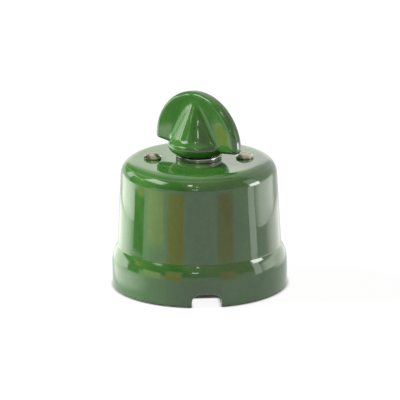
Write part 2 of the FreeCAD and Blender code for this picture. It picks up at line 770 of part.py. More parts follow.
def make_detent_spring():
    """Sheet spring clamped on the bridge, with two arms bent down over the flats of the cam."""
    spring = level_pad("detent_spring", lambda sketch: strip(sketch, "screw_offset", "bridge_half"),
                       "bridge_top", "spring_thickness")
    outside = "spring_inner + spring_thickness"
    arm_end = "cap_top + spring_lift"
    arms = sketch_on(spring, "YZ_Plane", "detent_spring_arms")
    outline(arms, [
        (f"-({outside})", arm_end),
        ("-spring_inner", arm_end),
        ("-spring_inner", "bridge_top"),
        ("spring_inner", "bridge_top"),
        ("spring_inner", arm_end),
        (outside, arm_end),
        (outside, "bridge_top", "spring_thickness"),
        ("spring_inner", "web_top"),
        ("-spring_inner", "web_top", "spring_thickness"),
        (f"-({outside})", "bridge_top"),
    ])
    pad(spring, arms, "detent_spring_arms_pad", "spring_width", both_ways=True)
    drill(spring, "spindle_hole", [("0", "0", "spindle_radius + web_gap")])
    drill(spring, "stud_holes", [(x, "0", "thread_radius + fit_gap") for x in BOTH_PILLARS])
    return spring


def make_retaining_clip():
    """Open ring that snaps into the spindle's groove above the bridge."""
    clip = level_pad("retaining_clip", lambda sketch: circle(sketch, "0", "0", "clip_radius"),
                     "clip_bottom", "clip_thickness")
    drill(clip, "bore", [("0", "0", "spindle_radius - groove_depth + fit_gap")])
    mouth = sketch_on(clip, "XY_Plane", "retaining_clip_mouth")
    rectangle(mouth, "0", "clip_radius + overcut", "-clip_mouth / 2", "clip_mouth / 2")
    pocket(clip, mouth, "retaining_clip_mouth_cut", upward=True)
    return place(clip, turn="knob_turn")


def make_lower_pillar(label, x):
    pillar = level_pad(label, lambda sketch: hexagon(sketch, "pillar_flat"),
                       "base_thickness", "bridge_bottom - base_thickness")
    drill(pillar, "thread", [("0", "0", "thread_radius + fit_gap")])
    return place(pillar, x=x)


def make_upper_pillar(label, x):
    """Pillar with a stud that clamps the bridge and a tapped top for the cover screw."""
    pillar = level_pad(label, lambda sketch: hexagon(sketch, "pillar_flat"), "web_top", "ceiling - web_top")
    stud = sketch_on(pillar, "XY_Plane", f"{label}_stud", "web_top")
    circle(stud, "0", "0", "thread_radius")
    pad(pillar, stud, f"{label}_stud_pad", "spring_thickness + bridge_thickness + stud_grip", downward=True)
    drill(pillar, "thread", [("0", "0", "thread_radius + fit_gap")], "ceiling", "screw_grip + tip_gap",
          upward=False)
    return place(pillar, x=x)


# Bush and screws

def make_bush():
    """Flanged bush that closes the cover's hole and guides the spindle under the knob."""
    bush = new_body("spindle_bush")
    profile = sketch_on(bush, "XZ_Plane", "spindle_bush_profile")
    bore = "spindle_radius + running_gap"
    tail = "ceiling - nut_thickness - bush_tail"
    outline(profile, [
        (bore, tail),
        ("bush_radius", tail),
        ("bush_radius", "cover_top"),
        ("collar_radius", "cover_top"),
        ("collar_radius", "collar_top"),
        (bore, "collar_top"),
    ])
    revolve(bush, profile, "spindle_bush_turned")
    dress(bush, "Fillet", "spindle_bush_edge", "collar_round", ring_edge("collar_radius", "collar_top"))
    return bush


def make_bush_nut():
    nut = level_pad("bush_nut", lambda sketch: hexagon(sketch, "nut_flat"),
                    "ceiling - nut_thickness", "nut_thickness")
    drill(nut, "thread", [("0", "0", "bush_radius + fit_gap")])
    return nut


def make_screw(label, head, shank_radius, shank_length, head_height):
    """Slotted screw seated at z = 0 with its head above: head is the outline from the seat's rim
    to the axis."""
    screw = new_body(label)
    profile = sketch_on(screw, "XZ_Plane", f"{label}_profile")
    outline(profile, [
        ("0", f"-({shank_length})"),
        (shank_radius, f"-({shank_length})"),
        (shank_radius, "0"),
        *head,
        ("0", head_height),
    ])
    revolve(screw, profile, f"{label}_turned")
    slot = sketch_on(screw, "XY_Plane", f"{label}_slot", head_height)
    reach = f"({head[0][0]}) + overcut"
    rectangle(slot, f"-({reach})", reach, "-slot_width / 2", "slot_width / 2")
    pocket(screw, slot, f"{label}_slot_cut", "slot_depth")
    return screw


def flat_head(radius, height):
    return [(radius, "0"), (radius, height)]


def make_cover_screws():
    dome = [("cover_head_radius", "0"), ("cover_head_radius", "cover_head_edge", "dome_radius")]
    return group("cover_screws", [
        place(make_screw(f"cover_screw_{side}", dome, "thread_radius", "roof + screw_grip",
                         "cover_head_height"), x=x, z="cover_top")
        for side, x in enumerate(BOTH_PILLARS, start=1)])


def make_contact_screws():
    head = flat_head("small_head_radius", "small_head_height")
    return group("contact_screws", [
        place(make_screw(f"contact_screw_{side}", head, "small_thread_radius",
                         "2 * leaf_thickness + fixing_grip", "small_head_height"),
              *turned("fixing_at", bearing), "upper_leaf_seat + leaf_thickness")
        for side, bearing in enumerate((LINE, LOAD), start=1)])


def make_clamp_screw(number, bearing):
    """Headless slotted screw that presses on the wire."""
    label = f"clamp_screw_{number}"
    tip = "base_thickness + wire_height + wire_radius"
    top = "block_top + clamp_proud"
    screw = level_pad(label, lambda sketch: circle(sketch, "0", "0", "clamp_radius"), tip, f"{top} - ({tip})")
    slot = sketch_on(screw, "XY_Plane", f"{label}_slot", top)
    rectangle(slot, "-clamp_radius - overcut", "clamp_radius + overcut", "-slot_width / 2", "slot_width / 2")
    pocket(screw, slot, f"{label}_slot_cut", "slot_depth")
    return place(screw, *turned("clamp_at", bearing))


def make_clamp_screws():
    return group("clamp_screws", [make_clamp_screw(number, bearing)
                                  for number, bearing in enumerate((LINE, LOAD), start=1)])


def from_below(screw, x, y):
    """Seat a screw in a recess of the base's underside, head down."""
    screw.Placement = Placement(Vector(), Rotation(Vector(1, 0, 0), 180))
    return place(screw, x, y, "recess_depth")


def make_pillar_screws():
    head = flat_head("pillar_head_radius", "pillar_head_height")
    return group("pillar_screws", [
        from_below(make_screw(f"pillar_screw_{side}", head, "thread_radius",
                              "base_thickness - recess_depth + screw_grip", "pillar_head_height"), x, "0")
        for side, x in enumerate(BOTH_PILLARS, start=1)])


def make_block_screws():
    head = flat_head("small_head_radius", "small_head_height")
    return group("block_screws", [
        from_below(make_screw(f"block_screw_{side}", head, "small_thread_radius",
                              "base_thickness - recess_depth + fixing_grip", "small_head_height"),
                   *turned("fixing_at", bearing))
        for side, bearing in enumerate((LINE, LOAD), start=1)])


sub_parts = [
    make_cover(),
    make_base(),
    make_knob(),
    make_knob_insert(),
    make_spindle(),
    make_lower_carrier(),
    make_upper_carrier(),
    make_contact_bar(),
    make_detent_cam(),
    make_thrust_washer(),
    make_retaining_clip(),
    make_bridge(),
    make_detent_spring(),
    make_bush(),
    make_bush_nut(),
    make_cover_screws(),
    make_pillar_screws(),
    make_block_screws(),
    make_contact_screws(),
    make_clamp_screws(),
]
for side, place_x in zip(("right", "left"), BOTH_PILLARS):
    sub_parts.append(make_lower_pillar(f"lower_pillar_{side}", place_x))
    sub_parts.append(make_upper_pillar(f"upper_pillar_{side}", place_x))
for pole, pole_bearing in (("line", LINE), ("load", LOAD)):
    sub_parts.append(make_terminal_block(f"terminal_block_{pole}", pole_bearing))
    sub_parts.append(make_lower_leaf(f"lower_leaf_{pole}", pole_bearing))
    sub_parts.append(make_upper_leaf(f"upper_leaf_{pole}", pole_bearing))

doc.recompute()
for thing in doc.Objects:
    if "Invalid" in thing.State or "Error" in thing.State:
        raise RuntimeError(f"{thing.Label} is {thing.State}")
for sub_part in sub_parts:
    if sub_part.Shape.isNull() or not sub_part.Shape.isValid():
        raise RuntimeError(f"{sub_part.Label} has no valid shape")

os.makedirs("parts", exist_ok=True)
for sub_part in sub_parts:
    sub_part.Shape.exportStep(f"parts/{sub_part.Label}.step")
    box = sub_part.Shape.BoundBox
    print(f"{sub_part.Label}: {len(sub_part.Shape.Solids)} solid(s), {sub_part.Shape.Volume:.1f} mm3, "
          f"z {box.ZMin:.2f} to {box.ZMax:.2f}")
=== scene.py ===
import math
from typing import NamedTuple

import bmesh
import bpy
from bpy.props import FloatProperty, FloatVectorProperty, IntProperty, PointerProperty
from bpy.types import Operator, Panel, PropertyGroup
from mathutils import Matrix, Vector, noise


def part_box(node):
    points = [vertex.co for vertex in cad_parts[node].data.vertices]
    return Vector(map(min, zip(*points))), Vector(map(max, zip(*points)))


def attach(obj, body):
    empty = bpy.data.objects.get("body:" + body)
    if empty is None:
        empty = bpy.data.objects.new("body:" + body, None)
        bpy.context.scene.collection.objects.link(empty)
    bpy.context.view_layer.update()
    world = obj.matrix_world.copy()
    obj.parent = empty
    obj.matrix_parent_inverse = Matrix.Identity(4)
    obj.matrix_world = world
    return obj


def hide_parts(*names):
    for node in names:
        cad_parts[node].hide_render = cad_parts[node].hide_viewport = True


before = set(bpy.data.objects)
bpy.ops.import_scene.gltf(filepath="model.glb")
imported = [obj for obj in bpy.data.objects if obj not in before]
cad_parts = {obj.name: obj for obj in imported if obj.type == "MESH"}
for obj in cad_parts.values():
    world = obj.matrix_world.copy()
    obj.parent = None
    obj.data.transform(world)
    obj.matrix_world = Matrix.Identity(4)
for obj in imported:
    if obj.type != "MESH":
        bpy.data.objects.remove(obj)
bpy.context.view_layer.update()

bl_info = {
    "name": "Porcelain rotary switch",
    "version": (1, 1, 0),
    "blender": (4, 5, 0),
    "location": "3D View > Sidebar > Switch",
    "description": "Glazes and plates a surface-mounted rotary switch and lights it on a pale floor",
    "category": "Object",
}

MM = 0.001
UP = Vector((0.0, 0.0, 1.0))
WHITE = (1.0, 1.0, 1.0)


def half_width(node):
    low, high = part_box(node)
    return (high.x - low.x) / 2


def top_of(node):
    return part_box(node)[1].z


def foot_of(node):
    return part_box(node)[0].z


# Property helpers

def length(name, description, default):
    return FloatProperty(name=name, description=description, default=default, unit="LENGTH", precision=5)


def angle(name, description, degrees):
    return FloatProperty(name=name, description=description, default=math.radians(degrees), subtype="ANGLE")


def share(name, description, default):
    return FloatProperty(name=name, description=description, default=default, subtype="FACTOR",
                         min=0.0, max=1.0)


def power(name, description, default):
    return FloatProperty(name=name, description=description, default=default, unit="POWER", min=0.0)


def plain(name, description, default):
    return FloatProperty(name=name, description=description, default=default)


def count(name, description, default):
    return IntProperty(name=name, description=description, default=default, min=1)


def colour(name, description, default):
    return FloatVectorProperty(name=name, description=description, default=default, subtype="COLOR",
                               size=3, min=0.0, max=1.0)


class CoverSettings(PropertyGroup):
    """Sizes of the turned porcelain cover."""

    rim_radius: length("Rim radius", "Skirt band", half_width("cover"))
    top: length("Top", "Level of the top face", top_of("cover"))
    band_step: length("Band step", "Skirt band beyond the barrel", 2.05 * MM)
    band_height: length("Band height", "Straight part of the skirt band", 9.0 * MM)
    shoulder_rise: length("Shoulder rise", "Rounded shoulder above the band", 6.7 * MM)
    shoulder_blend: length("Shoulder blend", "Hollow between shoulder and barrel", 1.0 * MM)
    barrel_taper: length("Barrel taper", "Loss of radius up the barrel", 1.75 * MM)
    top_round: length("Top round", "Edge of the top", 5.8 * MM)
    rim_round: length("Rim round", "Lower edge of the skirt", 1.0 * MM)
    wall: length("Wall", "Barrel wall", 4.0 * MM)
    roof: length("Roof", "Thickness of the top", 4.5 * MM)
    ledge_level: length("Ledge level", "Inner ledge that rests on the base", 10.0 * MM)
    base_gap: length("Base gap", "Base to the inside of the skirt", 0.5 * MM)
    ceiling_round: length("Ceiling round", "Inner corner under the top", 2.0 * MM)
    inner_round: length("Inner round", "Other corners inside", 0.4 * MM)
    hole_radius: length("Spindle hole", "Hole for the bush", 6.2 * MM)
    screw_hole: length("Screw hole", "Holes for the cover screws", 2.2 * MM)
    screw_offset: length("Screw offset", "Spindle axis to the cover screws", 17.0 * MM)
    notch_width: length("Notch width", "Cable notch", 11.0 * MM)
    notch_height: length("Notch height", "Cable notch", 5.0 * MM)
    notch_corner: length("Notch corner", "Upper corners of the cable notch", 3.2 * MM)
    notch_lip: length("Notch lip", "Rounding where the notch meets the skirt", 0.7 * MM)
    notch_turn: angle("Notch turn", "Cable notch from -Y towards +X", 4.5)
    ripple: length("Ripple", "Unevenness of the fired form", 0.06 * MM)
    ripple_pitch: plain("Ripple pitch", "Waves in a metre", 75.0)
    ring_step: length("Ring step", "Longest run between two rings of the mesh", 1.0 * MM)
    segments: count("Segments", "Facets round the cover", 288)
    hole_segments: count("Hole segments", "Facets round a screw hole", 48)


class KnobSettings(PropertyGroup):
    """How the knob and the base are fired into one skin each, with glaze pooled in the knob's hollows."""

    grain: length("Grain", "Size of the knob's new mesh", 0.24 * MM)
    base_grain: length("Base grain", "Size of the base's new mesh", 0.34 * MM)
    base_melting: count("Base melting", "Smoothing passes that soften the base's pressed edges", 5)
    melting: count("Melting", "Smoothing passes all over", 56)
    pooling: count("Pooling", "Further smoothing passes in the hollows", 240)
    softening: share("Softening", "Share of the way that a smoothing pass moves a point", 0.5)
    hollow_dip: length("Hollow dip", "Dip at which a point counts as wholly in a hollow", 0.004 * MM)
    hollow_blur: count("Hollow blur", "Passes that soften the borders of the hollows", 8)
    ripple: length("Ripple", "Unevenness of the fired knob", 0.045 * MM)
    ripple_pitch: plain("Ripple pitch", "Waves in a metre", 210.0)


class ScrewSettings(PropertyGroup):
    """Sizes of the cover screws and of the bush."""

    head_radius: length("Head radius", "Domed head", 3.25 * MM)
    head_height: length("Head height", "Domed head", 2.0 * MM)
    head_edge: length("Head edge", "Upright edge of the head", 0.7 * MM)
    head_round: length("Head round", "Worn edges of the head", 0.22 * MM)
    shank_radius: length("Shank radius", "Outside of the thread", 2.0 * MM)
    shank_tip: length("Shank tip", "Chamfer at the end", 0.5 * MM)
    pitch: length("Pitch", "Thread of the screws", 0.7 * MM)
    thread_depth: length("Thread depth", "Thread of the screws", 0.32 * MM)
    thread_rows: count("Thread rows", "Rings of the mesh in one pitch", 8)
    slot_width: length("Slot width", "Screwdriver slot", 0.9 * MM)
    slot_depth: length("Slot depth", "Screwdriver slot", 0.8 * MM)
    slot_edge: length("Slot edge", "Worn edges of the slot and the head", 0.07 * MM)
    worn_angle: angle("Worn angle", "Sharper edges than this are worn", 50.0)
    crisp_angle: angle("Crisp angle", "Sharper edges than this stay crisp in shading", 30.0)
    bush_radius: length("Bush radius", "Threaded barrel of the bush", 6.0 * MM)
    bush_bore: length("Bush bore", "Bore for the spindle", 3.05 * MM)
    collar_round: length("Collar round", "Upper edge of the collar", 0.7 * MM)
    bush_step: length("Bush step", "Longest run between two rings of the bush", 0.5 * MM)
    segments: count("Segments", "Facets round a screw or the bush", 96)


class GlazeSettings(PropertyGroup):
    """Colours and surface of the green glaze and the white porcelain."""

    deep: colour("Deep glaze", "Glaze where it lies thick", (0.055, 0.205, 0.033))
    thin: colour("Thin glaze", "Glaze where it runs thin", (0.095, 0.285, 0.050))
    speck: colour("Speck", "Small iron specks in the glaze", (0.020, 0.045, 0.010))
    body: colour("Porcelain", "Unglazed porcelain", (0.74, 0.71, 0.65))
    stain: colour("Stain", "Dust and handling marks on unglazed porcelain", (0.50, 0.45, 0.37))
    roughness: share("Roughness", "Roughness of the fired glaze", 0.025)
    body_roughness: share("Body roughness", "Roughness of unglazed porcelain", 0.5)
    gloss: plain("Refraction", "Index of refraction of the lead glaze", 1.68)
    run_pitch: plain("Run pitch", "Soft runs of the glaze in a metre", 85.0)
    run_squash: share("Run squash", "Upright pitch of the runs against the level one", 0.45)
    mottle_pitch: plain("Mottle pitch", "Fine mottling in a metre", 420.0)
    speck_pitch: plain("Speck pitch", "Iron specks in a metre", 1500.0)
    dull_pitch: plain("Dull pitch", "Duller patches in a metre", 700.0)
    wave_pitch: plain("Wave pitch", "Waves of the fired surface in a metre", 260.0)
    wave_height: length("Wave height", "Waves of the fired surface", 0.05 * MM)
    wave_strength: share("Wave strength", "How much the waves waver the gloss", 0.12)
    foot_edge: length("Foot edge", "Height at which the glaze begins", 0.25 * MM)
    foot_ragged: length("Ragged foot", "Unevenness of the glaze line at the foot", 0.7 * MM)
    ragged_pitch: plain("Ragged pitch", "Bends of the glaze line in a metre", 350.0)


class MetalSettings(PropertyGroup):
    """Colours of the metal and moulded pieces."""

    nickel: colour("Nickel", "Worn nickel on the cover screws", (0.50, 0.47, 0.39))
    nickel_wear: colour("Nickel wear", "Brass that shows through the nickel", (0.30, 0.24, 0.15))
    plate: colour("Plate", "Dark plating of the collar", (0.34, 0.33, 0.31))
    plate_wear: colour("Plate wear", "Dull stains on the plating", (0.19, 0.18, 0.16))
    brass: colour("Brass", "Terminals and inserts", (0.66, 0.47, 0.19))
    brass_wear: colour("Brass wear", "Tarnish on brass", (0.34, 0.21, 0.08))
    steel: colour("Steel", "Spindle, bridge, cam and hidden screws", (0.50, 0.50, 0.50))
    steel_wear: colour("Steel wear", "Oxide on steel", (0.22, 0.20, 0.18))
    spring: colour("Spring steel", "Blued sheet springs", (0.20, 0.23, 0.30))
    spring_wear: colour("Spring wear", "Straw tint of tempered sheet", (0.34, 0.27, 0.16))
    moulding: colour("Moulding", "Brown insulating moulding", (0.055, 0.026, 0.014))
    moulding_fleck: colour("Moulding fleck", "Wood flour in the moulding", (0.13, 0.065, 0.030))


class StageSettings(PropertyGroup):
    """Camera, floor and lamps."""

    distance: length("Camera distance", "Camera to the point it looks at", 2.0)
    lens: FloatProperty(name="Lens", description="Focal length", default=486.0, unit="CAMERA")
    sensor: FloatProperty(name="Sensor", description="Width of the sensor", default=36.0, unit="CAMERA")
    elevation: angle("Elevation", "Height of the view above the floor", 16.2)
    roll: angle("Roll", "Turn of the picture", -0.5)
    aim: FloatVectorProperty(name="Aim", description="Point that the camera looks at",
                             default=(0.00034, 0.0, 0.03184), subtype="TRANSLATION", size=3, precision=5)
    floor_size: length("Floor size", "Side of the floor", 6.0)
    floor_gap: length("Floor gap", "Floor below the foot of the base", 0.05 * MM)
    floor_colour: colour("Floor", "Colour of the floor", (0.20, 0.20, 0.20))
    floor_glow: plain("Floor glow", "Brightness that the camera and gloss see on the floor", 0.93)
    contact_reach: length("Contact shadow", "How far the shadow at the foot spreads", 1.8 * MM)
    sky_fill: plain("Sky fill", "Share of the white surround that lights the object", 0.28)
    sky_front: colour("Sky front", "Room behind and above the camera", (0.58, 0.58, 0.46))
    sky_shade: colour("Sky shade", "Dim side of the room, high on the left", (0.10, 0.10, 0.09))
    lamp_reach: length("Lamp reach", "Spindle to the soft lights, along the floor", 0.69)
    lamp_height: length("Lamp height", "Soft lights above the floor", 0.435)
    lamp_aim: length("Lamp aim", "Height on the spindle that the soft lights face", 0.035)
    key_power: power("Key light", "Soft light from the left", 7.6)
    key_turn: angle("Key turn", "Key light from -Y towards +X", -95.0)
    key_side: length("Key side", "Side of the key light", 0.35)
    fill_power: power("Fill light", "Soft light from the right", 1.4)
    fill_turn: angle("Fill turn", "Fill light from -Y towards +X", 70.0)
    fill_side: length("Fill side", "Side of the fill light", 0.6)


# Mesh helpers

def add_object(name, data):
    thing = bpy.data.objects.new(name, data)
    bpy.context.scene.collection.objects.link(thing)
    return thing


def arc(centre, start, end, steps):
    """Points of the shorter arc between two points about a centre."""
    first, last = start - centre, end - centre
    return [centre + first.slerp(last, step / steps) * first.length for step in range(steps + 1)]


def corner(before, at, after, radius, steps=8):
    """Points of the arc that rounds one corner of an outline."""
    backward, forward = (before - at).normalized(), (after - at).normalized()
    half = backward.angle(forward) / 2
    reach = radius / math.tan(half)
    centre = at + (backward + forward).normalized() * radius / math.sin(half)
    return arc(centre, at + backward * reach, at + forward * reach, steps)


def rounded(corners, closed=True):
    """An outline of (radius, height, rounding) corners, with each rounding drawn as an arc."""
    points = [Vector((radius, height)) for radius, height, rounding in corners]
    drawn = []
    for index, (radius, height, rounding) in enumerate(corners):
        at_end = not closed and index in (0, len(corners) - 1)
        if rounding and not at_end:
            drawn += corner(points[index - 1], points[index], points[(index + 1) % len(points)], rounding)
        else:
            drawn.append(points[index])
    return drawn


def spaced(points, step, closed=True):
    """The same outline with its long runs divided."""
    following = points[1:] + points[:1] if closed else points[1:]
    drawn = []
    for start, end in zip(points, following):
        pieces = max(1, math.ceil((end - start).length / step))
        drawn += [start.lerp(end, piece / pieces) for piece in range(pieces)]
    return drawn if closed else drawn + [points[-1]]


def spin(name, outline, segments, closed=True):
    """A mesh turned about Z from (radius, height) points. An open outline starts and ends on the axis."""
    shape = bmesh.new()
    rings = []
    for radius, height in outline:
        if radius == 0.0:
            rings.append([shape.verts.new((0.0, 0.0, height))] * segments)
            continue
        turns = (math.tau * step / segments for step in range(segments))
        points = ((radius * math.cos(turn), radius * math.sin(turn), height) for turn in turns)
        rings.append([shape.verts.new(point) for point in points])
    following = rings[1:] + rings[:1] if closed else rings[1:]
    for ring, after in zip(rings, following):
        for step in range(segments):
            around = (step + 1) % segments
            corners = (ring[step], ring[around], after[around], after[step])
            shape.faces.new(dict.fromkeys(corners))
    bmesh.ops.recalc_face_normals(shape, faces=shape.faces)
    mesh = bpy.data.meshes.new(name)
    shape.to_mesh(mesh)
    shape.free()
    return mesh


def loft(name, sections):
    """A closed mesh through sections with the same number of points, with flat ends."""
    shape = bmesh.new()
    rings = [[shape.verts.new(point) for point in section] for section in sections]
    for ring, after in zip(rings, rings[1:]):
        for step in range(len(ring)):
            around = (step + 1) % len(ring)
            shape.faces.new((ring[step], ring[around], after[around], after[step]))
    shape.faces.new(rings[0])
    shape.faces.new(rings[-1])
    bmesh.ops.recalc_face_normals(shape, faces=shape.faces)
    mesh = bpy.data.meshes.new(name)
    shape.to_mesh(mesh)
    shape.free()
    return mesh


def settle(piece):
    """Apply a piece's modifiers to its mesh."""
    piece_now = piece.evaluated_get(bpy.context.evaluated_depsgraph_get())
    mesh = bpy.data.meshes.new_from_object(piece_now)
    piece.modifiers.clear()
    old = piece.data
    piece.data = mesh
    bpy.data.meshes.remove(old)


def cut(piece, *cutters):
    """Cut shapes out of a piece."""
    tools = [add_object("cutter", mesh) for mesh in cutters]
    for tool in tools:
        step = piece.modifiers.new("cut", "BOOLEAN")
        step.operation = "DIFFERENCE"
        step.solver = "MANIFOLD"
        step.object = tool
    settle(piece)
    for tool in tools:
        mesh = tool.data
        bpy.data.objects.remove(tool)
        bpy.data.meshes.remove(mesh)


def smooth(mesh, sharpest=math.radians(38.0)):
    """Smooth shading that stays crisp at edges beyond the sharpest angle."""
    mesh.shade_smooth()
    mesh.set_sharp_from_angle(angle=sharpest)


def ripple(mesh, amount, pitch):
    """Push the surface in and out a little, as a fired form is never quite true."""
    moves = [vertex.normal * amount * noise.noise(vertex.co * pitch) for vertex in mesh.vertices]
    for vertex, move in zip(mesh.vertices, moves):
        vertex.co += move


def finish(piece, body, node, material):
    """Let a piece stand for a node, on its body and in its finish."""
    piece.data.materials.clear()
    piece.data.materials.append(material)
    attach(piece, body)
    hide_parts(node)


# Node helpers

def new_material(name):
    material = bpy.data.materials.new(name)
    material.use_nodes = True
    return material, material.node_tree, material.node_tree.nodes["Principled BSDF"]


def feed(tree, socket, source):
    """Link a socket, or set it to a plain value."""
    if isinstance(source, bpy.types.NodeSocket):
        tree.links.new(source, socket)
    else:
        socket.default_value = source


def add_node(tree, kind, sockets=None, **settings):
    node = tree.nodes.new(kind)
    for key, setting in settings.items():
        setattr(node, key, setting)
    for key, source in (sockets or {}).items():
        feed(tree, node.inputs[key], source)
    return node


def rgba(rgb):
    return (*rgb, 1.0)


def place_of(tree):
    """The object's own coordinates, in metres."""
    return add_node(tree, "ShaderNodeTexCoord").outputs["Object"]


def stretched(tree, place, scale):
    return add_node(tree, "ShaderNodeMapping", {"Vector": place, "Scale": scale}).outputs["Vector"]


def noise_at(tree, place, scale, detail=3.0, roughness=0.5):
    """Noise with that many features in a metre."""
    sockets = {"Vector": place, "Scale": scale, "Detail": detail, "Roughness": roughness}
    return add_node(tree, "ShaderNodeTexNoise", sockets).outputs["Fac"]


def between(tree, value, low, high, start=0.0, end=1.0):
    """A soft step of a value, from start at low to end at high."""
    sockets = {"Value": value, "From Min": low, "From Max": high, "To Min": start, "To Max": end}
    return add_node(tree, "ShaderNodeMapRange", sockets, interpolation_type="SMOOTHSTEP").outputs["Result"]


def combine(tree, operation, first, second):
    return add_node(tree, "ShaderNodeMath", {0: first, 1: second}, operation=operation).outputs["Value"]


def mixed(tree, factor, first, second):
    """A blend of two colours."""
    node = add_node(tree, "ShaderNodeMix", data_type="RGBA")
    for key, source in (("Factor", factor), ("A", first), ("B", second)):
        feed(tree, node.inputs[key], source)
    return node.outputs["Result"]


def bumped(tree, shader, height, distance, strength=1.0):
    sockets = {"Height": height, "Distance": distance, "Strength": strength}
    tree.links.new(add_node(tree, "ShaderNodeBump", sockets).outputs["Normal"], shader.inputs["Normal"])


# Finishes

def glaze_colour(tree, place, settings):
    """Glaze that pools and thins in soft runs, with a few iron specks."""
    squashed = stretched(tree, place, (1.0, 1.0, settings.run_squash))
    runs = noise_at(tree, squashed, settings.run_pitch, detail=4.0, roughness=0.55)
    mottle = noise_at(tree, place, settings.mottle_pitch, detail=3.0, roughness=0.6)
    thin = combine(tree, "ADD", between(tree, runs, 0.36, 0.72, end=0.75),
                   between(tree, mottle, 0.4, 0.75, end=0.25))
    glaze = mixed(tree, thin, rgba(settings.deep), rgba(settings.thin))
    grains = noise_at(tree, place, settings.speck_pitch, detail=1.0, roughness=0.4)
    return mixed(tree, between(tree, grains, 0.765, 0.80), glaze, rgba(settings.speck))


def bisque_colour(tree, place, settings):
    """Unglazed porcelain with patches of dust and handling marks."""
    patches = noise_at(tree, place, 140.0, detail=5.0, roughness=0.65)
    return mixed(tree, between(tree, patches, 0.5, 0.85, end=0.6), rgba(settings.body), rgba(settings.stain))


def glaze_surface(tree, shader, place, settings):
    """Fired surface: mirror gloss that wavers a little."""
    shader.inputs["IOR"].default_value = settings.gloss
    waves = noise_at(tree, place, settings.wave_pitch, detail=2.0)
    bumped(tree, shader, waves, settings.wave_height, settings.wave_strength)


def glaze_material(settings):
    """Green glaze all over."""
    material, tree, shader = new_material("green_glaze")
    place = place_of(tree)
    tree.links.new(glaze_colour(tree, place, settings), shader.inputs["Base Color"])
    patches = noise_at(tree, place, settings.dull_pitch, detail=2.0)
    dull = between(tree, patches, 0.45, 0.8, settings.roughness, 3 * settings.roughness)
    tree.links.new(dull, shader.inputs["Roughness"])
    glaze_surface(tree, shader, place, settings)
    return material


def cover_material(settings, cover):
    """Green glaze outside, with an unglazed foot and an unglazed white inside."""
    material, tree, shader = new_material("green_glaze_cover")
    place = place_of(tree)
    split = add_node(tree, "ShaderNodeSeparateXYZ", {"Vector": place})
    x, y, height = (split.outputs[axis] for axis in "XYZ")
    square = combine(tree, "ADD", combine(tree, "MULTIPLY", x, x), combine(tree, "MULTIPLY", y, y))
    radius = combine(tree, "SQRT", square, 0.0)
    middle_low = cover.rim_radius - cover.wall / 2
    lean = (cover.band_step + cover.barrel_taper) / cover.top
    middle = combine(tree, "SUBTRACT", middle_low, combine(tree, "MULTIPLY", height, lean))
    beyond = combine(tree, "SUBTRACT", radius, middle)
    outside = between(tree, beyond, -0.3 * MM, 0.5 * MM)
    roof_middle = cover.top - cover.roof / 2
    above = between(tree, height, roof_middle, roof_middle + 1.0 * MM)
    ragged = combine(tree, "MULTIPLY", noise_at(tree, place, settings.ragged_pitch), settings.foot_ragged)
    footed = between(tree, combine(tree, "SUBTRACT", height, ragged), 0.0, settings.foot_edge)
    glazed = combine(tree, "MULTIPLY", combine(tree, "MAXIMUM", outside, above), footed)
    bare, green = bisque_colour(tree, place, settings), glaze_colour(tree, place, settings)
    tree.links.new(mixed(tree, glazed, bare, green), shader.inputs["Base Color"])
    dull = between(tree, glazed, 0.0, 1.0, settings.body_roughness, settings.roughness)
    tree.links.new(dull, shader.inputs["Roughness"])
    glaze_surface(tree, shader, place, settings)
    return material


def porcelain_material(settings):
    """White porcelain with pores, pressed marks and handling stains."""
    material, tree, shader = new_material("white_porcelain")
    place = place_of(tree)
    pores = between(tree, noise_at(tree, place, 1800.0, detail=2.0), 0.68, 0.76)
    tint = mixed(tree, pores, bisque_colour(tree, place, settings), rgba(settings.stain))
    tree.links.new(tint, shader.inputs["Base Color"])
    dull = between(tree, noise_at(tree, place, 200.0), 0.3, 0.7, 0.32, 0.55)
    tree.links.new(dull, shader.inputs["Roughness"])
    bumped(tree, shader, noise_at(tree, place, 900.0, detail=4.0), 0.04 * MM, strength=0.5)
    return material


def metal_material(name, tint, wear, roughness, worn):
    """Metal with fine scratches and patches of wear. Worn is the share of the surface that has turned."""
    material, tree, shader = new_material(name)
    place = place_of(tree)
    spread = noise_at(tree, place, 420.0, detail=5.0, roughness=0.62)
    patches = between(tree, spread, 0.72 - 0.4 * worn, 0.86 - 0.4 * worn)
    scratches = noise_at(tree, stretched(tree, place, (1.0, 0.12, 0.4)), 9000.0, detail=2.0)
    tree.links.new(mixed(tree, patches, rgba(tint), rgba(wear)), shader.inputs["Base Color"])
    dull = combine(tree, "ADD", between(tree, patches, 0.0, 1.0, roughness, roughness + 0.22),
                   between(tree, scratches, 0.4, 0.75, end=0.08))
    tree.links.new(dull, shader.inputs["Roughness"])
    shader.inputs["Metallic"].default_value = 1.0
    bumped(tree, shader, scratches, 0.01 * MM, strength=0.25)
    return material


def moulding_material(metal):
    """Brown moulded insulator with wood-flour flecks."""
    material, tree, shader = new_material("insulating_moulding")
    place = place_of(tree)
    flour = noise_at(tree, stretched(tree, place, (1.0, 1.0, 0.3)), 1300.0, detail=3.0, roughness=0.6)
    flecks = between(tree, flour, 0.52, 0.72)
    tint = mixed(tree, flecks, rgba(metal.moulding), rgba(metal.moulding_fleck))
    tree.links.new(tint, shader.inputs["Base Color"])
    dull = between(tree, noise_at(tree, place, 300.0), 0.3, 0.75, 0.26, 0.48)
    tree.links.new(dull, shader.inputs["Roughness"])
    bumped(tree, shader, noise_at(tree, place, 1100.0), 0.02 * MM, strength=0.4)
    return material


# Cover and knob

